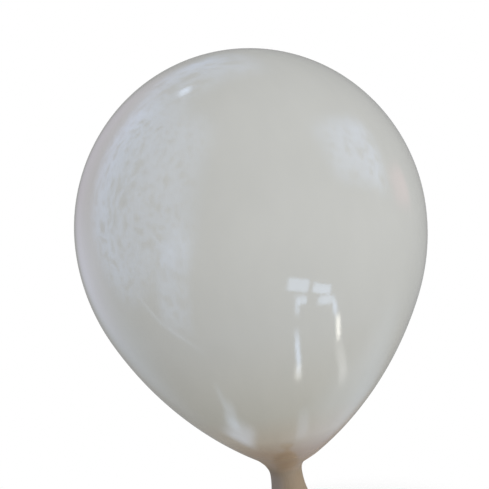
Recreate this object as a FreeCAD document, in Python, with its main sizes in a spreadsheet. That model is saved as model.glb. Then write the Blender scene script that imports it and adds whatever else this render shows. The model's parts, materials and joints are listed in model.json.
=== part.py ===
import FreeCAD, Part
import os
import re
from math import cos, radians, sin

import Sketcher

# Round latex party balloon, blown up and tied off. Millimetres, +Z up to the crown.
# The origin is on the axis, in the pinched throat where the neck meets the knot.
# Everything above it is stretched film full of air, everything below is slack latex.

SIZES = [
    ("body_radius", 140.0, "widest ring of the blown-up body"),
    ("upper_radius", 145.3, "arc of the side above the widest ring"),
    ("upper_angle", 45.0, "degrees that the upper arc turns before the crown"),
    ("shoulder_radius", 165.7, "arc of the side just below the widest ring"),
    ("shoulder_angle", 25.0, "degrees that the shoulder arc turns"),
    ("flank_angle", 29.8, "degrees that the flatter flank below it turns"),
    ("cone_length", 15.64, "straight stretch from the flank to the root of the neck"),
    ("film_wall", 0.3, "wall of the blown-up film"),
    ("spot_angle", 4.6, "degrees from the axis to the edge of the thick spot at the crown"),
    ("spot_wall", 0.6, "wall of the crown spot"),
    ("waist_radius", 13.1, "narrowest ring between body and neck"),
    ("root_fillet", 13.0, "hollow curve from the waist out to the body"),
    ("collar_radius", 60.0, "hollow curve from the waist out to the neck bulb"),
    ("collar_angle", 15.0, "degrees that the collar curve turns"),
    ("bulb_arc", 14.0, "round side of the bulb that the neck swells into"),
    ("gather_angle", 60.0, "steepness of the gathers under the bulb"),
    ("gather_fillet", 8.0, "hollow curve from the throat out to the gathers"),
    ("throat_radius", 3.2, "pinched film at the tie"),
    ("neck_wall", 0.5, "wall of the neck, less stretched than the body"),
    ("wrap_strand", 2.3, "half the thickness of the turn that goes round the knot"),
    ("wrap_radius", 4.2, "centre line of that turn"),
    ("wrap_tilt", 20.0, "degrees that it leans to one side"),
    ("cross_strand", 2.0, "half the thickness of the turn that crosses under it"),
    ("cross_radius", 3.4, "centre line of that turn"),
    ("cross_tilt", 40.0, "degrees that it leans to the front"),
    ("turn_inset", 0.3, "turns stop this short of the knot's two ends"),
    ("knot_height", 10.5, "knot from the throat to the tail"),
    ("stem_radius", 3.0, "gathered film that comes out of the knot"),
    ("stem_length", 9.0, "gathered film between knot and tail skirt"),
    ("belly_drop", 9.0, "from the top of the skirt to where it opens out"),
    ("belly_width", 16.0, "skirt across its long way there"),
    ("belly_depth", 11.0, "skirt across its short way there"),
    ("skirt_length", 20.0, "slack tail from its gathers to the rolled rim"),
    ("mouth_width", 24.0, "mouth across its long way"),
    ("mouth_depth", 14.0, "mouth across its short way"),
    ("tail_wall", 0.5, "wall of the slack tail"),
    ("bead_radius", 1.3, "half the thickness of the rolled rim"),
]

LEFT, RIGHT = 1, -1

doc = FreeCAD.newDocument("Balloon")
sheet = doc.addObject("Spreadsheet::Sheet", "Sizes")
for row, (name, value, note) in enumerate(SIZES, start=1):
    sheet.set(f"A{row}", name)
    sheet.set(f"B{row}", str(value))
    sheet.set(f"C{row}", note)
    sheet.setAlias(f"B{row}", name)
doc.recompute()


def linked(formula):
    """The formula with each named size read from the sheet."""
    return re.sub(r"[a-z]+_[a-z]+", r"Sizes.\g<0>", formula)


def size(formula):
    """What a formula in the named sizes comes to."""
    return float(sheet.evalExpression(linked(formula)))


def bind(item, **formulas):
    """Ties properties of an object to formulas in the named sizes."""
    for name, formula in formulas.items():
        item.setExpression(name, linked(formula))


# The side of the balloon as tangent curves, from the tie up to the crown.
CONE_ANGLE = "(shoulder_angle + flank_angle)"
RIM_RADIUS = f"(waist_radius + root_fillet * (1 - cos{CONE_ANGLE}))"
FLANK_RADIUS = (
    "((body_radius - shoulder_radius * (1 - cos(shoulder_angle))"
    f" - {RIM_RADIUS} - cone_length * sin{CONE_ANGLE})"
    f" / (cos(shoulder_angle) - cos{CONE_ANGLE}))"
)
COLLAR_END = "(waist_radius + collar_radius * (1 - cos(collar_angle)))"
BULB_RADIUS = f"({COLLAR_END} + bulb_arc * (1 - cos(collar_angle)))"
GATHER_START = "(throat_radius + gather_fillet * (1 - cos(gather_angle)))"
GATHER_END = f"({BULB_RADIUS} - bulb_arc * (1 - cos(gather_angle)))"
GATHER_LENGTH = f"(({GATHER_END} - {GATHER_START}) / sin(gather_angle))"

NECK_TOP = (
    f"(gather_fillet * sin(gather_angle) + {GATHER_LENGTH} * cos(gather_angle)"
    " + bulb_arc * (sin(gather_angle) + sin(collar_angle)))"
)
WAIST_HEIGHT = f"({NECK_TOP} + collar_radius * sin(collar_angle))"
RIM_HEIGHT = f"({WAIST_HEIGHT} + root_fillet * sin{CONE_ANGLE})"
WIDEST_HEIGHT = (
    f"({RIM_HEIGHT} + cone_length * cos{CONE_ANGLE}"
    f" + {FLANK_RADIUS} * (sin{CONE_ANGLE} - sin(shoulder_angle))"
    " + shoulder_radius * sin(shoulder_angle))"
)
CROWN_RADIUS = "(upper_radius - (upper_radius - body_radius) / cos(upper_angle))"
CROWN_CENTRE = f"({WIDEST_HEIGHT} + (upper_radius - body_radius) * tan(upper_angle))"
SPOT_RADIUS = f"({CROWN_RADIUS} * sin(spot_angle))"
SPOT_HEIGHT = f"({CROWN_CENTRE} + {CROWN_RADIUS} * cos(spot_angle))"

SKIRT_TOP = "(-knot_height - stem_length)"
MOUTH_LEVEL = f"({SKIRT_TOP} - skirt_length)"


def direction(angle):
    """Unit vector at an angle in degrees, in the plane of a section."""
    return FreeCAD.Vector(cos(radians(angle)), sin(radians(angle)), 0)


class Section:
    """The closed section of a film: an outside drawn edge by edge, and an inside parallel to it.

    It starts at a point of the outside, heading up, with the air on its left.
    """

    def __init__(self, sketch, radius, height, heading, wall):
        self.sketch = sketch
        self.heading = size(heading)
        self.at = FreeCAD.Vector(size(radius), size(height), 0)
        self.wall = wall
        inner_radius = f"{radius} - {wall} * sin({heading})"
        inner_height = f"{height} + {wall} * cos({heading})"
        inside = FreeCAD.Vector(size(inner_radius), size(inner_height), 0)
        self.foot = sketch.addGeometry(Part.LineSegment(inside, self.at), False)
        for end, across, up in ((1, inner_radius, inner_height), (2, radius, height)):
            self.hold("DistanceX", -1, 1, self.foot, end, formula=across)
            self.hold("DistanceY", -1, 1, self.foot, end, formula=up)
        self.last = (self.foot, 2)

    def hold(self, kind, *where, formula):
        """Adds a dimension that follows a formula in the named sizes."""
        value = radians(size(formula)) if kind == "Angle" else size(formula)
        number = self.sketch.addConstraint(Sketcher.Constraint(kind, *where, value))
        self.sketch.renameConstraint(number, f"size_{number}")
        self.sketch.setExpression(f"Constraints.size_{number}", linked(formula))

    def join(self, kind, edge, begins, ends):
        """Adds an edge whose beginning meets the end of the last one."""
        index = self.sketch.addGeometry(edge, False)
        self.sketch.addConstraint(Sketcher.Constraint(kind, *self.last, index, begins))
        self.last = (index, ends)
        return index

    def line(self, kind, length, free=False):
        """A straight edge on from the last one."""
        end = self.at + size(length) * direction(self.heading)
        index = self.join(kind, Part.LineSegment(self.at, end), 1, 2)
        if not free:
            self.hold("Distance", index, formula=length)
        self.at = end

    def arc(self, kind, radius, turn, side, free=False):
        """An arc on from the last edge, turning left or right."""
        start = self.heading - 90 * side
        finish = start + size(turn) * side
        middle = self.at - size(radius) * direction(start)
        circle = Part.Circle(middle, FreeCAD.Vector(0, 0, 1), size(radius))
        low, high = sorted((radians(start), radians(finish)))
        begins, ends = (1, 2) if side == LEFT else (2, 1)
        index = self.join(kind, Part.ArcOfCircle(circle, low, high), begins, ends)
        if not free:
            self.hold("Radius", index, formula=radius)
            self.hold("Angle", index, formula=turn)
        self.at = middle + size(radius) * direction(finish)
        self.heading += size(turn) * side

    def draw(self, steps):
        """Draws the outside up, the far end of the wall, and the inside back down."""
        kind = "Perpendicular"
        for length, turn, side in steps:
            if turn is None:
                self.line(kind, length)
            else:
                self.arc(kind, length, turn, side)
            kind = "Tangent"
        self.heading += 90
        self.line("Perpendicular", self.wall)
        self.heading += 90
        kind = "Perpendicular"
        for number, (length, turn, side) in enumerate(reversed(steps), start=1):
            closing = number == len(steps)
            if turn is None:
                self.line("Coincident" if closing else kind, length, free=closing)
            else:
                inner = f"({length} - {side} * {self.wall})"
                self.arc(kind, inner, turn, -side, free=closing)
            kind = "Tangent"
        home = Sketcher.Constraint("Coincident", *self.last, self.foot, 1)
        self.sketch.addConstraint(home)


def plane(body, role):
    """The body's own origin plane with that role."""
    return next(item for item in body.Origin.OriginFeatures if item.Role == role)


def film(label, radius, height, heading, wall, steps):
    """A thin wall turned about the Z axis, in a body of its own."""
    body = doc.addObject("PartDesign::Body", label)
    sketch = body.newObject("Sketcher::SketchObject", f"{label}_section")
    sketch.AttachmentSupport = (plane(body, "XZ_Plane"), "")
    sketch.MapMode = "FlatFace"
    Section(sketch, radius, height, heading, wall).draw(steps)
    turned = body.newObject("PartDesign::Revolution", f"{label}_turned")
    turned.Profile = sketch
    turned.ReferenceAxis = (sketch, ["V_Axis"])
    turned.Angle = 360
    sketch.Visibility = False
    return body


def neck_tube():
    """Gathers, bulb and upper neck, from the throat to just under the waist."""
    steps = [
        ("gather_fillet", "gather_angle", RIGHT),
        (GATHER_LENGTH, None, None),
        ("bulb_arc", "(gather_angle + collar_angle)", LEFT),
    ]
    return film("neck_tube", "throat_radius", "0", "90", "neck_wall", steps)


def waist():
    """The supple ring that the body nods and rocks on."""
    steps = [
        ("collar_radius", "collar_angle", RIGHT),
        ("root_fillet", CONE_ANGLE, RIGHT),
    ]
    return film("waist", COLLAR_END, NECK_TOP, "(90 + collar_angle)", "neck_wall", steps)


def balloon_film():
    """The big blown-up film, open at the root and round the crown spot."""
    steps = [
        ("cone_length", None, None),
        (FLANK_RADIUS, "flank_angle", LEFT),
        ("shoulder_radius", "shoulder_angle", LEFT),
        ("upper_radius", "upper_angle", LEFT),
        (CROWN_RADIUS, "(90 - upper_angle - spot_angle)", LEFT),
    ]
    heading = f"(90 - {CONE_ANGLE})"
    return film("balloon_film", RIM_RADIUS, RIM_HEIGHT, heading, "film_wall", steps)


def crown_spot():
    """The thick spot where the latex last ran off the dipping form."""
    steps = [(CROWN_RADIUS, "spot_angle", LEFT)]
    heading = "(180 - spot_angle)"
    return film("crown_spot", SPOT_RADIUS, SPOT_HEIGHT, heading, "spot_wall", steps)


def turn(name, lean_axis, height):
    """One turn of the knot: a ring of gathered film that leans about a level axis."""
    ring = Part.makeTorus(size(f"{name}_radius"), size(f"{name}_strand"))
    lean = FreeCAD.Rotation(lean_axis, size(f"{name}_tilt"))
    ring.Placement = FreeCAD.Placement(FreeCAD.Vector(0, 0, size(height)), lean)
    return ring


def knot():
    """The overhand knot: the neck's core, a turn round it, and one that crosses below."""
    core = Part.makeCone(size("stem_radius"), size("throat_radius"), size("knot_height"))
    core.translate(FreeCAD.Vector(0, 0, -size("knot_height")))
    wrap_height = "-(turn_inset + wrap_strand + wrap_radius * sin(wrap_tilt))"
    cross_height = "turn_inset + cross_strand + cross_radius * sin(cross_tilt) - knot_height"
    wrap = turn("wrap", FreeCAD.Vector(0, 1, 0), wrap_height)
    cross = turn("cross", FreeCAD.Vector(1, 0, 0), cross_height)
    tied = doc.addObject("Part::Feature", "knot")
    tied.Shape = core.multiFuse([wrap, cross])
    return tied


def tail_throat():
    """The gathered stem that the slack tail flops about on."""
    stem = doc.addObject("Part::Cylinder", "tail_throat")
    bind(stem, Radius="stem_radius", Height="stem_length")
    stem.setExpression(".Placement.Base.z", linked(SKIRT_TOP))
    return stem


def oval(label, width, depth, height):
    """A level oval about the axis."""
    ring = doc.addObject("Part::Ellipse", label)
    bind(ring, MajorRadius=f"({width}) / 2", MinorRadius=f"({depth}) / 2")
    ring.setExpression(".Placement.Base.z", linked(height))
    return ring


def skirt_form(label, inset):
    """The trumpet from the stem to the mouth, drawn in by an inset all round."""
    less = f" - 2 * {inset}"
    form = doc.addObject("Part::Loft", label)
    form.Sections = [
        oval(f"{label}_top", f"2 * stem_radius{less}", f"2 * stem_radius{less}", SKIRT_TOP),
        oval(f"{label}_belly", f"belly_width{less}", f"belly_depth{less}", f"{SKIRT_TOP} - belly_drop"),
        oval(f"{label}_mouth", f"mouth_width{less}", f"mouth_depth{less}", MOUTH_LEVEL),
    ]
    form.Solid = True
    return form


def rolled_rim():
    """The bead that the mouth is rolled up into, along the middle of the skirt's wall."""
    path = oval("rim_path", "mouth_width - tail_wall", "mouth_depth - tail_wall", MOUTH_LEVEL)
    bead = doc.addObject("Part::Circle", "rim_bead")
    bead.Placement.Rotation = FreeCAD.Rotation(FreeCAD.Vector(1, 0, 0), 90)
    bind(bead, Radius="bead_radius")
    bead.setExpression(".Placement.Base.x", linked("(mouth_width - tail_wall) / 2"))
    bead.setExpression(".Placement.Base.z", linked(MOUTH_LEVEL))
    rim = doc.addObject("Part::Sweep", "rolled_rim")
    rim.Sections = [bead]
    rim.Spine = (path, ["Edge1"])
    rim.Solid = True
    return rim


def tail_skirt(rim):
    """The slack trumpet of film, open at the mouth, its end rolled into the rim."""
    shell = doc.addObject("Part::Cut", "skirt_shell")
    shell.Base = skirt_form("skirt_outside", "0")
    shell.Tool = skirt_form("skirt_inside", "tail_wall")
    skirt = doc.addObject("Part::Cut", "tail_skirt")
    skirt.Base = shell
    skirt.Tool = rim
    return skirt


rim = rolled_rim()
pieces = [
    neck_tube(),
    waist(),
    balloon_film(),
    crown_spot(),
    knot(),
    tail_throat(),
    tail_skirt(rim),
    rim,
]
doc.recompute()

for item in doc.Objects:
    if "Invalid" in item.State or "Error" in item.State:
        raise RuntimeError(f"{item.Label} did not build: {item.State}")
for piece in pieces:
    if piece.Shape.isNull() or not piece.Shape.isValid():
        raise RuntimeError(f"{piece.Label} has no valid shape")
    if len(piece.Shape.Solids) != 1:
        raise RuntimeError(f"{piece.Label} is not one solid")

os.makedirs("parts", exist_ok=True)
for piece in pieces:
    piece.Shape.exportStep(f"parts/{piece.Label}.step")
    print(f"{piece.Label}: {piece.Shape.Volume:.1f} mm3")
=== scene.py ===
"""A round latex party balloon, tied off: its film, neck, knot and slack tail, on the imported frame."""

import json
from math import atan, cos, pi, radians, sin, tan, tau

import bpy
import numpy as np
from mathutils import Matrix, Vector

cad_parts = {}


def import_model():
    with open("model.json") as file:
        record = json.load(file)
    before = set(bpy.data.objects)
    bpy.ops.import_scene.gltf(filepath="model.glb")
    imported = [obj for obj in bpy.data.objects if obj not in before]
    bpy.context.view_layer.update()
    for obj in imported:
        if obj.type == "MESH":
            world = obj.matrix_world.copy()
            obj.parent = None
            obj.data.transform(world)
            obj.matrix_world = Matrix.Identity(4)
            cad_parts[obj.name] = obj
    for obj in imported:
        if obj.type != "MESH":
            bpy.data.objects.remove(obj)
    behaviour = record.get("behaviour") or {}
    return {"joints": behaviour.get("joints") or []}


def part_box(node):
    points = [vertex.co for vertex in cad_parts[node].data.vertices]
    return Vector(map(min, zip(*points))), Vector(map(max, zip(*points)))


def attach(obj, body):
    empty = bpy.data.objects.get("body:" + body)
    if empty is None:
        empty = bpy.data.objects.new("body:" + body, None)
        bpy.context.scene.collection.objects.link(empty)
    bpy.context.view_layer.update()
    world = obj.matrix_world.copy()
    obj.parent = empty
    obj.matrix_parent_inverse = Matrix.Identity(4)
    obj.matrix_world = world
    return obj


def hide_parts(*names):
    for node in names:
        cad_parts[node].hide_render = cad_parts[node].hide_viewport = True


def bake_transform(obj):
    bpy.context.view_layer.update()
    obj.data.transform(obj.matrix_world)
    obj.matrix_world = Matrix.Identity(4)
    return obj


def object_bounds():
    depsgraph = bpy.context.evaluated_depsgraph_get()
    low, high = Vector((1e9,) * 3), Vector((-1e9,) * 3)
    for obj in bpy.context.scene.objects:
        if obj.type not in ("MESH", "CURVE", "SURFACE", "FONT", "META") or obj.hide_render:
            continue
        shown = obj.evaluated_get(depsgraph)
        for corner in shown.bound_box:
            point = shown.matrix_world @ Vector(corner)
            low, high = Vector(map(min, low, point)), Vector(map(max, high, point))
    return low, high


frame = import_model()
cad_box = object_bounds()

MM = 0.001
SEGMENTS = 168            # vertices in each ring of the film
SHARP_ANGLE = 60          # degrees: a film's cut edge is sharper, its folds are softer
# How far apart the film's rings are, along its outline.
GATHER_STEP, NECK_STEP, WAIST_STEP = 0.4 * MM, 0.5 * MM, 0.25 * MM
CONE_STEP, FLANK_STEP, BODY_STEP = 1.2 * MM, 3.0 * MM, 3.5 * MM

# ---------------------------------------------------------------- sizes
# Film outline, from the pinched throat up: radii in metres, turns in degrees.
THROAT_RADIUS = 3.2 * MM
GATHER_FILLET, GATHER_ANGLE = 8.0 * MM, 60.0
BULB_ARC = 14.0 * MM
COLLAR_RADIUS, COLLAR_ANGLE = 60.0 * MM, 15.0
ROOT_FILLET, CONE_ANGLE = 13.0 * MM, 54.8
CONE_LENGTH = 15.64 * MM
FLANK_ANGLE = 29.8
SHOULDER_RADIUS, SHOULDER_ANGLE = 165.7 * MM, 25.0
UPPER_RADIUS, UPPER_ANGLE = 145.3 * MM, 45.0
SPOT_ANGLE = 4.6          # half the angle that the crown spot spans
FILM_WALL, NECK_WALL, TAIL_WALL = 0.3 * MM, 0.5 * MM, 0.5 * MM

BODY_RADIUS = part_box("balloon_film")[1].x
RIM_RADIUS, RIM_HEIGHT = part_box("waist")[1].x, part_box("waist")[1].z
CROWN_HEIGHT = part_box("crown_spot")[1].z
KNOT_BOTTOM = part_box("tail_throat")[1].z
SKIRT_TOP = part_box("tail_throat")[0].z
STEM_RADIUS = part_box("tail_throat")[1].x
MOUTH_LEVEL = (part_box("rolled_rim")[0].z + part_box("rolled_rim")[1].z) / 2
BEAD_RADIUS = (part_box("rolled_rim")[1].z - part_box("rolled_rim")[0].z) / 2
MOUTH_REACH = Vector(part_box("rolled_rim")[1].xy) - Vector((BEAD_RADIUS, BEAD_RADIUS))
BELLY_DROP = 9.0 * MM                    # below the stem, where the slack tail bellies out
BELLY_REACH = Vector((8.0, 5.5)) * MM    # and how far

WAIST_HEIGHT = RIM_HEIGHT - ROOT_FILLET * sin(radians(CONE_ANGLE))
WAIST_RADIUS = RIM_RADIUS - ROOT_FILLET * (1 - cos(radians(CONE_ANGLE)))
BULB_RADIUS = WAIST_RADIUS + (COLLAR_RADIUS + BULB_ARC) * (1 - cos(radians(COLLAR_ANGLE)))
GATHER_RISE = (BULB_ARC + GATHER_FILLET) * (1 - cos(radians(GATHER_ANGLE)))
GATHER_LENGTH = (BULB_RADIUS - THROAT_RADIUS - GATHER_RISE) / sin(radians(GATHER_ANGLE))
FLANK_RADIUS = (
    BODY_RADIUS - SHOULDER_RADIUS * (1 - cos(radians(SHOULDER_ANGLE)))
    - RIM_RADIUS - CONE_LENGTH * sin(radians(CONE_ANGLE))
) / (cos(radians(SHOULDER_ANGLE)) - cos(radians(CONE_ANGLE)))
CROWN_RADIUS = UPPER_RADIUS - (UPPER_RADIUS - BODY_RADIUS) / cos(radians(UPPER_ANGLE))
WIDEST_HEIGHT = (
    CROWN_HEIGHT - CROWN_RADIUS - (UPPER_RADIUS - BODY_RADIUS) * tan(radians(UPPER_ANGLE))
)

# The height of each of the record's joints.
JOINT_HEIGHT = {joint["name"]: joint["pos_m"][2] for joint in frame["joints"]}


# ---------------------------------------------------------------- shaping
def smoothstep(low, high, value):
    """0 below low, 1 above high, and a smooth rise between."""
    share = np.clip((value - low) / (high - low), 0, 1)
    return share * share * (3 - 2 * share)


class Outline:
    """A side view of the film, drawn upwards as tangent lines and arcs: (radius, height) points."""

    def __init__(self, radius, height, heading=90.0):
        self.points = [np.array([radius, height])]
        self.heading = radians(heading)

    def line(self, length, spacing):
        steps = max(2, round(length / spacing))
        start = self.points[-1]
        along = np.array([cos(self.heading), sin(self.heading)])
        for step in range(1, steps + 1):
            self.points.append(start + along * length * step / steps)
        return self

    def arc(self, radius, turn, spacing):
        """Turns left through a positive angle and right through a negative one."""
        angle = radians(turn)
        steps = max(4, round(radius * abs(angle) / spacing))
        side = 1 if turn > 0 else -1
        reach = radius * side
        across = np.array([-sin(self.heading), cos(self.heading)])
        centre = self.points[-1] + reach * across
        for step in range(1, steps + 1):
            heading = self.heading + angle * step / steps
            self.points.append(centre + reach * np.array([sin(heading), -cos(heading)]))
        self.heading += angle
        return self


def turn_angles(count):
    """Angles that divide a full turn evenly."""
    return np.arange(count) * tau / count


def added(name, data):
    """A new object in the scene."""
    made = bpy.data.objects.new(name, data)
    bpy.context.scene.collection.objects.link(made)
    return made


def shade_smooth(mesh):
    mesh.polygons.foreach_set("use_smooth", [True] * len(mesh.polygons))


def mesh_piece(name, vertices, faces):
    """A new mesh object, shaded smooth."""
    mesh = bpy.data.meshes.new(name)
    mesh.from_pydata([tuple(v) for v in vertices], [], faces)
    mesh.validate()
    shade_smooth(mesh)
    return added(name, mesh)


def ring_piece(name, rings, close_start=False, close_end=False):
    """A tube through rings of points that all have the same count, its faces outwards."""
    count, around = len(rings), len(rings[0])
    vertices = list(np.concatenate(rings))
    faces = []
    for ring in range(count - 1):
        for k in range(around):
            low, high = ring * around, (ring + 1) * around
            ahead = (k + 1) % around
            faces.append((low + k, low + ahead, high + ahead, high + k))
    if close_start:
        vertices.append(np.mean(rings[0], axis=0))
        tip = len(vertices) - 1
        faces += [(tip, (k + 1) % around, k) for k in range(around)]
    if close_end:
        vertices.append(np.mean(rings[-1], axis=0))
        tip = len(vertices) - 1
        last = (count - 1) * around
        faces += [(tip, last + k, last + (k + 1) % around) for k in range(around)]
    return mesh_piece(name, vertices, faces)


def applied(piece):
    """Applies the piece's modifiers."""
    bpy.context.view_layer.update()
    graph = bpy.context.evaluated_depsgraph_get()
    done = bpy.data.meshes.new_from_object(piece.evaluated_get(graph))
    piece.modifiers.clear()
    piece.data = done
    return piece


def walled(piece, wall):
    """Gives an open film its wall, inwards."""
    solid = piece.modifiers.new("wall", "SOLIDIFY")
    solid.thickness = wall
    solid.offset = -1
    applied(piece)
    piece.data.set_sharp_from_angle(angle=radians(SHARP_ANGLE))
    return piece


DECIMETRES = 10           # in a metre
MERIDIAN_RISE = 4         # the meridian attribute's change per metre of height: small, so that
                          # noise on it is drawn out up the film


def mark(piece):
    """Stores each vertex's place at rest, its direction round the axis and its height above the
    waist in decimetres, so that the finish stays on the film when it bends."""
    places = np.array([v.co for v in piece.data.vertices]).reshape(-1, 3)
    angle = np.arctan2(places[:, 1], places[:, 0])
    around = np.stack([np.cos(angle), np.sin(angle), places[:, 2] * MERIDIAN_RISE], axis=1)
    rest = piece.data.attributes.new("rest", "FLOAT_VECTOR", "POINT")
    rest.data.foreach_set("vector", places.astype(np.float32).ravel())
    meridian = piece.data.attributes.new("meridian", "FLOAT_VECTOR", "POINT")
    meridian.data.foreach_set("vector", around.astype(np.float32).ravel())
    rise = piece.data.attributes.new("rise", "FLOAT", "POINT")
    above_waist = (places[:, 2] - WAIST_HEIGHT) * DECIMETRES
    rise.data.foreach_set("value", above_waist.astype(np.float32))
    return piece


# ---------------------------------------------------------------- materials
class Graph:
    """A node tree with one shader in it, built node by node."""

    def __init__(self, owner, shader):
        owner.use_nodes = True
        self.nodes = owner.node_tree.nodes
        self.links = owner.node_tree.links
        self.shader = self.nodes[shader]

    def set(self, **values):
        for name, value in values.items():
            self.shader.inputs[name.replace("_", " ")].default_value = value

    def node(self, kind, inputs=(), **settings):
        made = self.nodes.new(kind)
        for name, value in settings.items():
            setattr(made, name, value)
        for socket, value in dict(inputs).items():
            if isinstance(value, bpy.types.NodeSocket):
                self.links.new(value, made.inputs[socket])
            else:
                made.inputs[socket].default_value = value
        return made

    def attribute(self, name, output):
        return self.node("ShaderNodeAttribute", attribute_name=name).outputs[output]

    def noise(self, vector, scale, detail=2.0, roughness=0.5):
        inputs = {"Vector": vector, "Scale": scale, "Detail": detail, "Roughness": roughness}
        return self.node("ShaderNodeTexNoise", inputs).outputs["Fac"]

    def ridges(self, vector, scale, detail, roughness):
        """Noise drawn out into thin branches, from 0 to about 2."""
        inputs = {"Vector": vector, "Scale": scale, "Detail": detail, "Roughness": roughness}
        inputs.update({"Offset": 0.9, "Gain": 2.0})
        kind = {"noise_type": "RIDGED_MULTIFRACTAL", "normalize": False}
        return self.node("ShaderNodeTexNoise", inputs, **kind).outputs["Fac"]

    def spread(self, value, low, high):
        """Maps a noise's useful middle, 0.3 to 0.7, onto low to high."""
        inputs = {"Value": value, "From Min": 0.3, "From Max": 0.7, "To Min": low, "To Max": high}
        return self.node("ShaderNodeMapRange", inputs).outputs["Result"]

    def ramp(self, value, stops):
        """A colour ramp with (value, colour) stops."""
        low, high = stops[0][0], stops[-1][0]
        inputs = {"Value": value, "From Min": low, "From Max": high}
        share = self.node("ShaderNodeMapRange", inputs).outputs["Result"]
        made = self.node("ShaderNodeValToRGB", {"Fac": share})
        ramp = made.color_ramp
        while len(ramp.elements) < len(stops):
            ramp.elements.new(1.0)
        for element, (stop, colour) in zip(ramp.elements, stops):
            element.position = (stop - low) / (high - low)
            element.color = (*colour, 1)
        return made.outputs["Color"]

    def mapped(self, value, low, high, start, end, step="SMOOTHSTEP"):
        """start below low, end above high, and a smooth change between."""
        inputs = {"Value": value, "From Min": low, "From Max": high, "To Min": start, "To Max": end}
        made = self.node("ShaderNodeMapRange", inputs, interpolation_type=step)
        return made.outputs["Result"]

    def from_axis(self, place):
        """How far a place is from the balloon's axis."""
        flat = self.node("ShaderNodeVectorMath", {0: place, 1: (1, 1, 0)}, operation="MULTIPLY")
        reach = self.node("ShaderNodeVectorMath", {0: flat.outputs[0]}, operation="LENGTH")
        return reach.outputs["Value"]

    def product(self, one, other):
        inputs = {0: one, 1: other}
        return self.node("ShaderNodeMath", inputs, operation="MULTIPLY").outputs[0]

    def shaded(self, colour, amount):
        """The colour multiplied by a grey amount."""
        inputs = {"Vector": colour, "Scale": amount}
        return self.node("ShaderNodeVectorMath", inputs, operation="SCALE").outputs["Vector"]

    def bump(self, height, distance, strength=1.0, under=None):
        inputs = {"Height": height, "Distance": distance, "Strength": strength}
        if under is not None:
            inputs["Normal"] = under
        return self.node("ShaderNodeBump", inputs).outputs["Normal"]

    def link(self, output, name):
        self.links.new(output, self.shader.inputs[name])


class Finish(Graph):
    """A Principled material."""

    def __init__(self, name):
        self.material = bpy.data.materials.new(name)
        super().__init__(self.material, "Principled BSDF")


# Latex colours, from the thinnest film down to the slack, unstretched tail. Towards the neck they
# darken and brown partly because the latex is thicker there and partly as painted shade: the
# lower body's lesser light, and the neck hanging in the body's shade.
FILM = (0.524, 0.529, 0.508)
FLANK_FILM = (0.500, 0.505, 0.484)
LOWER_FILM = (0.450, 0.442, 0.394)
THICK_AND_SHADED_FILM = (0.448, 0.400, 0.328)
ROOT = (0.325, 0.238, 0.158)
COLLAR = (0.285, 0.202, 0.128)
NECK = (0.195, 0.150, 0.102)
SLACK = (0.400, 0.335, 0.255)
# Where each colour is at its purest: the rise above the waist, in decimetres.
FILM_STOPS = [
    (-0.40, SLACK), (-0.18, NECK), (0.04, NECK), (0.12, COLLAR), (0.29, ROOT),
    (0.45, THICK_AND_SHADED_FILM), (0.68, LOWER_FILM), (1.30, FLANK_FILM), (1.90, FILM),
]
LINES_START, LINES_END = 0.02, 0.22      # the neck's fine lines fade out over this rise
DULL_START, DULL_END = 0.05, 0.40        # and its dullness over this one
DULL, GLOSSY = 0.46, 0.05                # roughness below and above
SLACK_ROUGHNESS, RIM_ROUGHNESS = 0.42, 0.36
ROUGHNESS_CHANGE = 0.06   # how much rougher or smoother slack latex is from patch to patch
LATEX_IOR = 1.47
DENSE = 0.86              # share of its light that a colour keeps in its darker patches
RIM_SHADE = 0.92          # and at the mouth's rim
LINE_DEPTH, RIPPLE_DEPTH, GRAIN_DEPTH, SKIN_DEPTH = 0.5 * MM, 0.4 * MM, 0.04 * MM, 0.01 * MM
LINE_STRENGTH = 0.7
SKIN_SCALE, GRAIN_SCALE = 1500.0, 2200.0


def darker(colour, share):
    return tuple(share * part for part in colour)


def film_latex(name):
    """Latex that thins from the neck up: dull, beige and finely lined, then off-white and glossy.

    Its colour also darkens towards the neck as painted shade, for the light that the lower body
    and the neck lack.
    """
    finish = Finish(name)
    rest = finish.attribute("rest", "Vector")
    meridian = finish.attribute("meridian", "Vector")
    rise = finish.attribute("rise", "Fac")
    # painted shade: the ramp darkens the film towards the neck beyond its thicker latex's own colour
    colour = finish.ramp(rise, FILM_STOPS)
    thick = finish.mapped(rise, LINES_START, LINES_END, 1.0, 0.0)
    lines = finish.noise(meridian, scale=16.0, detail=4.0, roughness=0.6)
    cloud = finish.spread(finish.noise(rest, scale=14.0, detail=3.0), low=0.985, high=1.015)
    streaks = finish.spread(finish.noise(meridian, scale=9.0, detail=3.0), low=0.990, high=1.010)
    finish.link(finish.shaded(finish.shaded(colour, cloud), streaks), "Base Color")
    dull = finish.mapped(rise, DULL_START, DULL_END, DULL, GLOSSY)
    mottle = finish.spread(finish.noise(rest, scale=40.0, detail=4.0), low=0.85, high=1.25)
    finish.link(finish.product(dull, mottle), "Roughness")
    folds = finish.bump(lines, LINE_DEPTH, finish.product(thick, LINE_STRENGTH))
    ripple = finish.bump(finish.noise(rest, scale=20.0, detail=1.0), RIPPLE_DEPTH, under=folds)
    skin = finish.bump(finish.noise(rest, SKIN_SCALE), SKIN_DEPTH, under=ripple)
    finish.link(skin, "Normal")
    finish.set(IOR=LATEX_IOR)
    return finish.material


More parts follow.
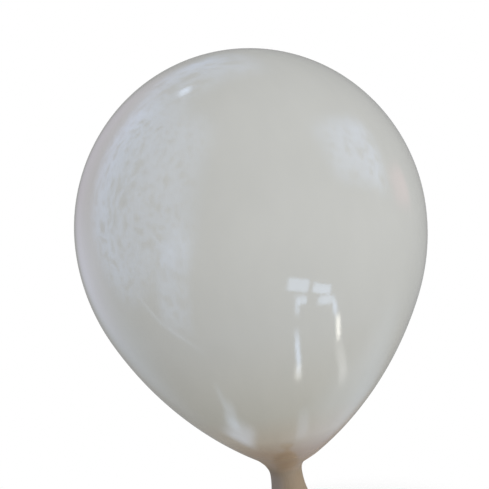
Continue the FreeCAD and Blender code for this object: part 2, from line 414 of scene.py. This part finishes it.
def slack_latex(name, colour, roughness):
    """Unstretched latex: matt and powdery, with a fine crepe of wrinkles."""
    finish = Finish(name)
    rest = finish.attribute("rest", "Vector")
    meridian = finish.attribute("meridian", "Vector")
    patches = finish.noise(rest, scale=260.0, detail=4.0, roughness=0.6)
    finish.link(finish.ramp(patches, [(0.3, darker(colour, DENSE)), (0.7, colour)]), "Base Color")
    uneven = finish.spread(patches, roughness + ROUGHNESS_CHANGE, roughness - ROUGHNESS_CHANGE)
    finish.link(uneven, "Roughness")
    wrinkles = finish.noise(meridian, scale=13.0, detail=4.0, roughness=0.65)
    crepe = finish.bump(wrinkles, LINE_DEPTH, LINE_STRENGTH)
    grain = finish.bump(finish.noise(rest, GRAIN_SCALE, detail=3.0), GRAIN_DEPTH, under=crepe)
    finish.link(grain, "Normal")
    finish.set(IOR=LATEX_IOR)
    return finish.material


def crown_latex():
    """The crown spot: the film's colour, a shade denser towards its middle."""
    finish = Finish("crown_latex")
    rest = finish.attribute("rest", "Vector")
    edge = CROWN_RADIUS * sin(radians(SPOT_ANGLE))
    stops = [(0, darker(LOWER_FILM, DENSE)), (0.55 * edge, LOWER_FILM), (edge, FILM)]
    colour = finish.ramp(finish.from_axis(rest), stops)
    cloud = finish.spread(finish.noise(rest, scale=120.0, detail=3.0), low=0.98, high=1.02)
    finish.link(finish.shaded(colour, cloud), "Base Color")
    mottle = finish.spread(finish.noise(rest, scale=60.0, detail=4.0), low=0.10, high=0.16)
    finish.link(mottle, "Roughness")
    finish.link(finish.bump(finish.noise(rest, SKIN_SCALE), SKIN_DEPTH), "Normal")
    finish.set(IOR=LATEX_IOR)
    return finish.material


def dress(piece, material):
    """Gives a finished mesh its material and marks its vertices."""
    piece.data.materials.clear()
    piece.data.materials.append(material)
    return mark(piece)


# ---------------------------------------------------------------- the film
NECK_LEAN = 3.8 * MM      # how far the neck hangs off the body's axis, towards -X
LEAN_START, LEAN_END = (0.0, 24.0 * MM), (46.0 * MM, 57.0 * MM)  # heights it comes and goes between


def lean(height):
    """The neck's shift along X: none at the tie, and none in the body."""
    return -NECK_LEAN * smoothstep(*LEAN_START, height) * (1 - smoothstep(*LEAN_END, height))


def turned_rings(outline, shape=None):
    """Rings of points round Z; shape gives a factor on the radius from (angles, height)."""
    angles = turn_angles(SEGMENTS)
    rings = []
    for radius, height in outline.points:
        factor = np.ones(SEGMENTS) if shape is None else shape(angles, height)
        reach = radius * factor
        across = reach * np.cos(angles) + lean(height)
        levels = np.full(SEGMENTS, height)
        rings.append(np.stack([across, reach * np.sin(angles), levels], axis=1))
    return rings


PLEATS = 14
PLEAT_DEPTH = 0.34        # share of the radius, at the throat
PLEAT_REACH = 19.0 * MM   # height at which the gathers have faded out
RIBS, RIB_DEPTH = 23, 0.006              # fine ribs that run up the neck to the waist
TUCK = 2.6 * MM           # how far the film goes on inside the knot, above and below
TUCKED = 0.42             # share of its radius that the film loses there


def gathers(angles, height):
    """Pleats that pinch the film inwards at the throat and fade out up the neck.

    Slow waves round the neck shift and weaken the pleats, so that no two are alike."""
    fade = 1 - smoothstep(0.0, PLEAT_REACH, height)
    wander = 0.55 * np.sin(3 * angles + 0.7) + 0.35 * np.sin(5 * angles + 2.1)
    valley = (0.5 + 0.5 * np.cos(PLEATS * angles + wander)) ** 1.6
    uneven = 0.78 + 0.22 * np.sin(4 * angles + 1.3)
    ribs = 0.5 + 0.5 * np.sin(RIBS * angles + 2 * np.sin(2 * angles))
    slack = 1 - smoothstep(0.6 * WAIST_HEIGHT, WAIST_HEIGHT, height)
    tucked = TUCKED * (1 - smoothstep(-TUCK, 0.6 * MM, height))
    return (1 - tucked) * (1 - PLEAT_DEPTH * fade * uneven * valley - RIB_DEPTH * slack * ribs)


def lower_film():
    """The neck, from inside the knot up to the waist."""
    outline = (
        Outline(THROAT_RADIUS, -TUCK)
        .line(TUCK, GATHER_STEP)
        .arc(GATHER_FILLET, -GATHER_ANGLE, GATHER_STEP)
        .line(GATHER_LENGTH, NECK_STEP)
        .arc(BULB_ARC, GATHER_ANGLE + COLLAR_ANGLE, NECK_STEP)
        .arc(COLLAR_RADIUS, -COLLAR_ANGLE, WAIST_STEP)
    )
    outline.points[-1][1] = WAIST_HEIGHT
    film = ring_piece("lower_film", turned_rings(outline, gathers))
    dress(walled(film, NECK_WALL), film_latex("neck_latex"))
    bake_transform(film)
    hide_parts("neck_tube", "waist")


def upper_film():
    """The blown-up film, from the waist to the crown spot; gives the point where it ends."""
    outline = (
        Outline(WAIST_RADIUS, WAIST_HEIGHT)
        .arc(ROOT_FILLET, -CONE_ANGLE, WAIST_STEP)
        .line(CONE_LENGTH, CONE_STEP)
        .arc(FLANK_RADIUS, FLANK_ANGLE, FLANK_STEP)
        .arc(SHOULDER_RADIUS, SHOULDER_ANGLE, BODY_STEP)
        .arc(UPPER_RADIUS, UPPER_ANGLE, BODY_STEP)
        .arc(CROWN_RADIUS, 90 - UPPER_ANGLE - SPOT_ANGLE, BODY_STEP)
    )
    film = ring_piece("upper_film", turned_rings(outline))
    dress(walled(film, FILM_WALL), film_latex("stretched_film"))
    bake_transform(film)
    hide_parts("balloon_film", "waist")
    return outline.points[-1]


SPOT_SWELL = 0.25 * MM    # how far the crown spot stands out in its middle
SPOT_RINGS = 14


def crown_spot(edge):
    """The round spot at the crown, a little thicker than the film round it."""
    centre = CROWN_HEIGHT - CROWN_RADIUS
    outline = Outline(*edge)
    for step in range(1, SPOT_RINGS):
        share = 1 - step / SPOT_RINGS
        tilt = radians(SPOT_ANGLE * share)
        radius = CROWN_RADIUS + SPOT_SWELL * (1 - share**2) ** 2
        outline.points.append(np.array([radius * sin(tilt), centre + radius * cos(tilt)]))
    cap = ring_piece("crown_cap", turned_rings(outline), close_end=True)
    cap.data.vertices[-1].co = (0, 0, CROWN_HEIGHT + SPOT_SWELL)
    dress(walled(cap, 2 * FILM_WALL), crown_latex())
    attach(cap, "balloon")
    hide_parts("crown_spot")


# ---------------------------------------------------------------- knot
def spline(points, samples):
    """Points along a smooth curve through the given ones (Catmull-Rom)."""
    points = np.array(points, float)
    padded = np.vstack([2 * points[0] - points[1], points, 2 * points[-1] - points[-2]])
    made = []
    for k in range(len(points) - 1):
        a, b, c, d = padded[k : k + 4]
        for t in np.linspace(0, 1, samples, endpoint=False):
            made.append(
                0.5 * (2 * b + (c - a) * t + (2 * a - 5 * b + 4 * c - d) * t**2
                       + (3 * b - a - 3 * c + d) * t**3)
            )
    made.append(points[-1])
    return np.array(made)


STRAND_SIDES = 48


def strand(name, path, radius, ridges, depth, twist):
    """A rope of gathered film: a tube along a path, ridged lengthwise, its ridges turning slowly."""
    tangents = np.gradient(path, axis=0)
    tangents /= np.linalg.norm(tangents, axis=1)[:, None]
    side = np.cross(tangents[0], (0.3, 1, 0.2))      # any start that isn't along the path will do
    rings = []
    angles = turn_angles(STRAND_SIDES)
    length = 0.0
    for k, (place, tangent) in enumerate(zip(path, tangents)):
        side = side - np.dot(side, tangent) * tangent
        side /= np.linalg.norm(side)
        other = np.cross(tangent, side)
        length += np.linalg.norm(path[k] - path[k - 1]) if k else 0
        phase = angles * ridges + twist * length
        groove = (0.5 + 0.5 * np.cos(phase + 0.6 * np.sin(2 * angles))) ** 2
        reach = radius[k] * (1 - depth * groove)
        ring = place + reach[:, None] * (
            np.cos(angles)[:, None] * side + np.sin(angles)[:, None] * other
        )
        rings.append(ring)
    return ring_piece(name, rings, close_start=True, close_end=True)


# The middle of the knotted neck, in millimetres, from the tie down to the tail's stem.
KNOT_ROUTE = [
    (0.0, 0.0, 2.0), (0.0, 0.0, 0.0), (-0.7, 0.5, -2.5), (-1.5, 1.2, -5.3), (0.2, 2.8, -7.8),
    (3.6, 2.4, -7.2), (4.6, -0.8, -5.0), (2.4, -3.9, -3.6), (-1.8, -4.3, -2.8),
    (-4.6, -1.8, -2.6), (-3.9, 2.2, -3.2), (-0.6, 1.8, -4.4), (0.6, -0.6, -6.5),
    (0.3, -0.4, -9.0), (0.0, 0.0, -10.4), (0.0, 0.0, -11.4),
]
KNOT_SAMPLES = 14         # between two points of the route
STRAND_END, STRAND_SWELL, STRAND_WAVE = 1.9 * MM, 0.65 * MM, 0.12 * MM
KNOT_VOXEL = 0.16 * MM


def knot():
    """The overhand knot: the gathered neck goes once round itself and out through its own loop.

    Gives the slack latex, which the tail shares."""
    path = spline(KNOT_ROUTE, KNOT_SAMPLES) * MM
    share = np.linspace(0, 1, len(path))
    swell = np.minimum(smoothstep(0, 0.12, share), smoothstep(0, 0.12, 1 - share))
    radius = STRAND_END + STRAND_SWELL * swell + STRAND_WAVE * np.sin(9 * share)
    tied = strand("tied_knot", path, radius, ridges=7, depth=0.22, twist=260.0)
    remesh = tied.modifiers.new("joined", "REMESH")
    remesh.mode = "VOXEL"
    remesh.voxel_size = KNOT_VOXEL
    soft = tied.modifiers.new("soft", "SMOOTH")
    soft.factor = 0.5
    soft.iterations = 2
    applied(tied)
    shade_smooth(tied.data)
    dress(tied, slack_latex("slack_latex", SLACK, SLACK_ROUGHNESS))
    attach(tied, "neck")
    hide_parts("knot")
    return tied.data.materials[0]


# ---------------------------------------------------------------- tail
TAIL_PLEATS, TAIL_PLEAT_DEPTH = 9, 0.26  # depth as a share of the radius, at the stem
SLOUCH = 0.35 * MM        # how far the slack tail wanders to each side
FLARE_END, PLEAT_END, OPEN_START = 0.4, 0.75, 0.15       # shares of the way from stem to mouth
STEM_RINGS, CUFF_RINGS = 20, 64
STEM_END = (JOINT_HEIGHT["tail_nod"] + JOINT_HEIGHT["tail_sway"]) / 2


def mouth_waves(angles):
    """How the slack mouth wanders: a factor on its reach, and a drop."""
    reach = 1 + 0.05 * np.sin(2 * angles + 0.6) + 0.045 * np.sin(3 * angles + 2.2)
    drop = (0.9 * np.sin(2 * angles + 2.0) + 0.6 * np.sin(3 * angles + 0.5)) * MM
    return reach, drop


def tail_ring(height, angles):
    """A ring of the tail at a height: round and pleated at the stem, an open oval at the mouth."""
    top, low = SKIRT_TOP, MOUTH_LEVEL
    share = max(0.0, (top - height) / (top - low))
    belly = BELLY_DROP / (top - low)
    flare = smoothstep(0, FLARE_END, share)
    reach = []
    for mid, end in zip(BELLY_REACH, MOUTH_REACH):
        swell = np.polyfit([0, belly, 1], [0, mid - STEM_RADIUS, end - STEM_RADIUS], 2)
        reach.append(STEM_RADIUS + flare * np.polyval(swell, share))
    pleat = (0.5 + 0.5 * np.cos(TAIL_PLEATS * angles + 0.6 * np.sin(2 * angles + 1))) ** 1.5
    fade = 1 - smoothstep(0.0, PLEAT_END, share)
    waves, drop = mouth_waves(angles)
    opened = smoothstep(OPEN_START, 1.0, share)
    tucked = TUCKED * smoothstep(KNOT_BOTTOM - TUCK, KNOT_BOTTOM + TUCK, height)
    factor = (1 - tucked) * (1 - TAIL_PLEAT_DEPTH * fade * pleat) * (1 + (waves - 1) * opened)
    slouch = SLOUCH * np.sin(6 * share) * opened
    return np.stack(
        [
            reach[0] * factor * np.cos(angles) + slouch,
            reach[1] * factor * np.sin(angles),
            height + drop * opened,
        ],
        axis=1,
    )


def tail_stem(material):
    """The gathered stem under the knot."""
    angles = turn_angles(SEGMENTS)
    heights = np.linspace(STEM_END, KNOT_BOTTOM + TUCK, STEM_RINGS)
    stem = ring_piece("tail_stem", [tail_ring(height, angles) for height in heights])
    dress(walled(stem, TAIL_WALL), material)
    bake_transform(stem)
    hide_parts("tail_throat")


def tail_cuff(material):
    """The slack tail, opening out to its mouth."""
    angles = turn_angles(SEGMENTS)
    heights = np.linspace(MOUTH_LEVEL, STEM_END, CUFF_RINGS)
    cuff = ring_piece("tail_cuff", [tail_ring(height, angles) for height in heights])
    dress(walled(cuff, TAIL_WALL), material)
    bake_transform(cuff)
    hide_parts("tail_throat", "tail_skirt")


BEAD_SECTIONS, BEAD_SIDES = 144, 28
GROOVE_AT, GROOVE_WIDTH = 0.62 * pi, 0.22               # angles round the bead's section
GROOVE_DEPTH = 0.16       # share of the bead's radius


def rim_bead():
    """The mouth's rolled edge: a bead with the groove where the film goes into the roll."""
    angles = turn_angles(BEAD_SECTIONS)
    edge = tail_ring(MOUTH_LEVEL, angles)
    section = turn_angles(BEAD_SIDES)
    groove = GROOVE_DEPTH * np.exp(-(((section - GROOVE_AT) / GROOVE_WIDTH) ** 2))
    rings = []
    for k, place in enumerate(edge):
        ahead, behind = edge[(k + 1) % BEAD_SECTIONS], edge[k - 1]
        tangent = (ahead - behind) / np.linalg.norm(ahead - behind)
        out = np.cross(tangent, (0, 0, 1.0))
        out /= np.linalg.norm(out)
        up = np.cross(out, tangent)
        uneven = 1 + 0.035 * sin(7 * angles[k] + 0.4) + 0.02 * sin(17 * angles[k])
        reach = BEAD_RADIUS * uneven * (1 - groove)
        rings.append(
            place
            + reach[:, None] * (np.cos(section)[:, None] * out + np.sin(section)[:, None] * up)
        )
    rings.append(rings[0])
    bead = ring_piece("rim_bead", rings)
    weld = bead.modifiers.new("closed", "WELD")
    weld.merge_threshold = 0.001 * MM
    applied(bead)
    finish = slack_latex("rim_latex", darker(SLACK, RIM_SHADE), RIM_ROUGHNESS)
    dress(bead, finish)
    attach(bead, "tail")
    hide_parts("rolled_rim")


# ---------------------------------------------------------------- stage
def toward(azimuth, elevation):
    """Unit vector from the balloon: azimuth 0 is towards -Y, 90 towards +X."""
    around, above = radians(azimuth), radians(elevation)
    return Vector((sin(around) * cos(above), -cos(around) * cos(above), sin(above)))


AMBIENT = 0.71            # the world's even light
ROOM = 0.33               # the world as it shows in the gloss
LAMP_DISTANCE = 8.0       # so far off that every part of the film sees a lamp in one direction
NEUTRAL, DAYLIGHT, LAMPLIGHT = (1.0, 1.0, 1.0), (0.58, 0.74, 1.0), (1.0, 0.97, 0.88)
SKYLIGHT, LILAC, ROSE = (0.45, 0.62, 1.0), (0.80, 0.64, 1.0), (1.0, 0.35, 0.42)
CRISP, SOFT, MOTTLED = "crisp", "soft", "mottled"
FADE_START = {SOFT: 0.12, MOTTLED: 0.2}      # share of a lamp's side, from its middle

# What lights the balloon: azimuth, elevation, the lamp's side as an angle seen from it, radiance.
STUDIO = {
    "key": (33, 12, 60, 0.95),
    "low": (95, -45, 40, 0.65),
    "fill": (200, 25, 60, 0.35),
}

# What shows in the gloss: azimuth and elevation, width and height as seen from the balloon, roll,
# radiance, colour and edge.
REFLECTIONS = {
    "pane_upper_left": (24.8, -32.4, 13, 7, -10, 3.8, DAYLIGHT, CRISP),
    "pane_upper_right": (42.6, -34.8, 11, 5.2, -7, 4.2, DAYLIGHT, CRISP),
    "pane_lower_left": (28.6, -40.4, 5.2, 4.2, 8, 3.8, DAYLIGHT, CRISP),
    "pane_lower_right": (46.6, -40.6, 8, 4.2, 0, 3.8, DAYLIGHT, CRISP),
    "curtain_left_top": (24.7, -43, 4, 14, 10, 3.5, DAYLIGHT, SOFT),
    "curtain_left": (33.4, -64.6, 4, 24, 22, 5.7, DAYLIGHT, SOFT),
    "curtain_left_foot": (43, -72.3, 6, 9, 29, 2.7, LAMPLIGHT, SOFT),
    "curtain_right_top": (56.4, -43, 3.5, 16, 36, 5.0, DAYLIGHT, SOFT),
    "curtain_right": (67.2, -50.2, 3.5, 13.5, 44, 8.2, LAMPLIGHT, SOFT),
    "far_right": (91, -57.3, 7, 30, 80, 1.3, NEUTRAL, SOFT),
    "low_left_top": (-97, -63, 4, 18, -80, 0.7, DAYLIGHT, SOFT),
    "low_left": (-118, -64, 7, 26, -116, 1.0, DAYLIGHT, SOFT),
    "low_left_foot": (-141, -60, 14, 30, -147, 1.3, DAYLIGHT, SOFT),
    "low_right": (145, -73, 9, 24, 136, 0.7, DAYLIGHT, SOFT),
    "low_right_wall": (135, -53, 60, 58, 0, 0.62, DAYLIGHT, SOFT),
    "bright_spot": (-127, 70, 7, 9, 115, 3.0, DAYLIGHT, SOFT),
    "railing": (-78, -35, 3, 50, 20, 1.0, DAYLIGHT, SOFT),
    "trees_low": (-55, -18, 26, 66, -30, 1.05, SKYLIGHT, MOTTLED),
    "trees_left": (-74, 26, 96, 104, 10, 1.19, SKYLIGHT, MOTTLED),
    "trees_top": (-150, 64, 50, 60, 90, 0.49, SKYLIGHT, MOTTLED),
    "left_edge": (-130, 18, 60, 96, 20, 0.30, LILAC, SOFT),
    "left_wall": (-124, -14, 60, 66, 8, 0.36, DAYLIGHT, SOFT),
    "trees_right": (82, 27, 50, 44, -20, 1.20, SKYLIGHT, MOTTLED),
    "right_wall": (110, 6.5, 26, 20, 0, 0.52, ROSE, SOFT),
}


def placed(data, target, azimuth, elevation, distance, roll=0.0, mirror=False):
    """Puts a light off a point on the axis, facing it.

    A mirror light shows in the gloss and adds no other light; the others only light the balloon."""
    made = added(data.name, data)
    out = toward(azimuth, elevation)
    made.location = Vector((0, 0, target)) + distance * out
    turn = out.to_track_quat("Z", "Y") @ Matrix.Rotation(radians(roll), 4, "Z").to_quaternion()
    made.rotation_mode = "QUATERNION"
    made.rotation_quaternion = turn
    made.visible_camera = False
    made.visible_glossy = mirror
    made.visible_diffuse = not mirror


def lamp(name, azimuth, elevation, width, height, roll, radiance, colour, edge, mirror=True):
    """A rectangular light, its sizes given as angles seen from the balloon."""
    data = bpy.data.lights.new(name, "AREA")
    data.shape = "RECTANGLE"
    data.size = 2 * LAMP_DISTANCE * tan(radians(width) / 2)
    data.size_y = 2 * LAMP_DISTANCE * tan(radians(height) / 2)
    data.color = colour
    data.energy = 4 * radiance * data.size * data.size_y
    if edge is not CRISP:
        fade(data, edge)
    placed(data, WIDEST_HEIGHT, azimuth, elevation, LAMP_DISTANCE, roll, mirror)


LEAF_SCALE = 1.15
LEAF_DARK, LEAF_BRIGHT = 0.3, 1.65       # the mottling's factors on a lamp's strength


def fade(data, edge):
    """Lets a lamp fade out towards its edges, and mottles it as leaves outside a window would."""
    graph = Graph(data, "Emission")
    place = graph.node("ShaderNodeNewGeometry").outputs["Parametric"]
    centred = graph.node("ShaderNodeVectorMath", {0: place, 1: (0.5, 0.5, 0)}, operation="SUBTRACT")
    reach = graph.node("ShaderNodeVectorMath", {0: centred.outputs[0]}, operation="ABSOLUTE")
    axes = graph.node("ShaderNodeSeparateXYZ", {0: reach.outputs[0]})
    full = FADE_START[edge]
    across, along = (graph.mapped(axes.outputs[k], full, 0.5, 1.0, 0.0) for k in (0, 1))
    strength = graph.product(across, along)
    if edge is MOTTLED:
        spot = graph.node("ShaderNodeNewGeometry").outputs["Position"]
        leaves = graph.ridges(spot, LEAF_SCALE, detail=5.0, roughness=0.75)
        strength = graph.product(strength, graph.mapped(leaves, 0.0, 2.0, LEAF_DARK, LEAF_BRIGHT))
    graph.link(strength, "Strength")


SIDE_RADIANCE = 0.75      # what white latex that faces it would send back
SIDE_AZIMUTH, SIDE_ELEVATION, SIDE_DISTANCE = 55, 4, 1.0
SIDE_TARGET = WAIST_HEIGHT - 14.0 * MM
SIDE_REACH = 42.0 * MM    # half the width of its beam at the neck
SIDE_RADIUS = 20.0 * MM   # the lamp's own, which softens its shadow


def side_light():
    """A narrow beam from the right that models the neck, which hangs in the body's shade."""
    data = bpy.data.lights.new("side", "SPOT")
    data.energy = 4 * pi * pi * SIDE_RADIANCE * SIDE_DISTANCE**2
    data.spot_size = 2 * atan(SIDE_REACH / SIDE_DISTANCE)
    data.spot_blend = 1.0
    data.shadow_soft_size = SIDE_RADIUS
    placed(data, SIDE_TARGET, SIDE_AZIMUTH, SIDE_ELEVATION, SIDE_DISTANCE)


def lights():
    """A key light, a low one, a fill behind, the neck's beam, and the windows in the gloss."""
    for name, (azimuth, elevation, side, radiance) in STUDIO.items():
        lamp(name, azimuth, elevation, side, side, 0, radiance, NEUTRAL, CRISP, mirror=False)
    side_light()
    for name, values in REFLECTIONS.items():
        lamp(name, *values)


def world():
    """White behind the balloon, a dimmer room in its gloss, and an even soft light on it."""
    made = bpy.data.worlds.new("studio")
    made.use_nodes = True
    bpy.context.scene.world = made
    nodes, links = made.node_tree.nodes, made.node_tree.links
    path = nodes.new("ShaderNodeLightPath")
    level = AMBIENT
    seen_by = {"Is Glossy Ray": ROOM, "Is Transmission Ray": 1.0, "Is Camera Ray": 1.0}
    for ray, strength in seen_by.items():
        choice = nodes.new("ShaderNodeMix")
        links.new(path.outputs[ray], choice.inputs["Factor"])
        choice.inputs["B"].default_value = strength
        if isinstance(level, float):
            choice.inputs["A"].default_value = level
        else:
            links.new(level, choice.inputs["A"])
        level = choice.outputs["Result"]
    links.new(level, nodes["Background"].inputs["Strength"])
    nodes["Background"].inputs["Color"].default_value = (1, 1, 1, 1)


FLOOR_GAP = 2.0 * MM
FLOOR_LIFT = 0.2          # brings the unshadowed floor up to the backdrop's white
FLOOR_SOLID, FLOOR_END = 0.10, 0.22      # the pale floor fades out between these radii
FLOOR_HUB, FLOOR_RINGS, FLOOR_SIDES = 0.01, 12, 96
FLOOR_PAINT = (0.84, 0.84, 0.84)


def floor():
    """A pale floor just under the tail, fading out into the backdrop."""
    level = cad_box[0].z - FLOOR_GAP
    angles = turn_angles(FLOOR_SIDES)
    levels = np.full(FLOOR_SIDES, level)
    rings = [
        np.stack([radius * np.cos(angles), radius * np.sin(angles), levels], axis=1)
        for radius in np.linspace(FLOOR_END, FLOOR_HUB, FLOOR_RINGS)
    ]
    plate = ring_piece("floor", rings, close_end=True)
    made = Finish("floor_paint")
    reach = made.from_axis(made.node("ShaderNodeNewGeometry").outputs["Position"])
    made.link(made.mapped(reach, FLOOR_SOLID, FLOOR_END, 1.0, 0.0, "SMOOTHERSTEP"), "Alpha")
    seen = made.node("ShaderNodeLightPath").outputs["Is Camera Ray"]
    made.link(made.product(seen, FLOOR_LIFT), "Emission Strength")
    made.set(Base_Color=(*FLOOR_PAINT, 1), Emission_Color=(1, 1, 1, 1))
    made.set(Roughness=0.9, Specular_IOR_Level=0.0)
    plate.data.materials.append(made.material)
    plate.visible_glossy = False
    plate.visible_shadow = False


CAMERA_DISTANCE = 0.55
CAMERA_ROLL = 9.5         # degrees that the balloon leans in the picture, its crown to the left
FOCAL_LENGTH, SENSOR_WIDTH = 49.4, 36.0  # mm
NEAR_CLIP = 10.0 * MM
AIM = Vector((-6.15, 8.2, -3.69)) * MM   # across the picture, down from the widest ring, up it


def camera():
    """A level view of the balloon from the front, rolled as the picture is."""
    roll = radians(CAMERA_ROLL)
    across = Vector((cos(roll), 0, -sin(roll)))
    up = Vector((sin(roll), 0, cos(roll)))
    data = bpy.data.cameras.new("camera")
    data.sensor_width = SENSOR_WIDTH
    data.lens = FOCAL_LENGTH
    data.clip_start = NEAR_CLIP
    made = added("camera", data)
    aim = Vector((0, 0, WIDEST_HEIGHT - AIM.y)) + AIM.x * across + AIM.z * up
    made.location = aim - Vector((0, CAMERA_DISTANCE, 0))
    turn = Matrix((across, up, across.cross(up))).transposed()
    made.rotation_mode = "QUATERNION"
    made.rotation_quaternion = turn.to_quaternion()
    bpy.context.scene.camera = made


lower_film()
film_end = upper_film()
crown_spot(film_end)
slack = knot()
tail_stem(slack)
tail_cuff(slack)
rim_bead()

world()
lights()
floor()
camera()
bpy.context.scene.view_settings.view_transform = "Standard"
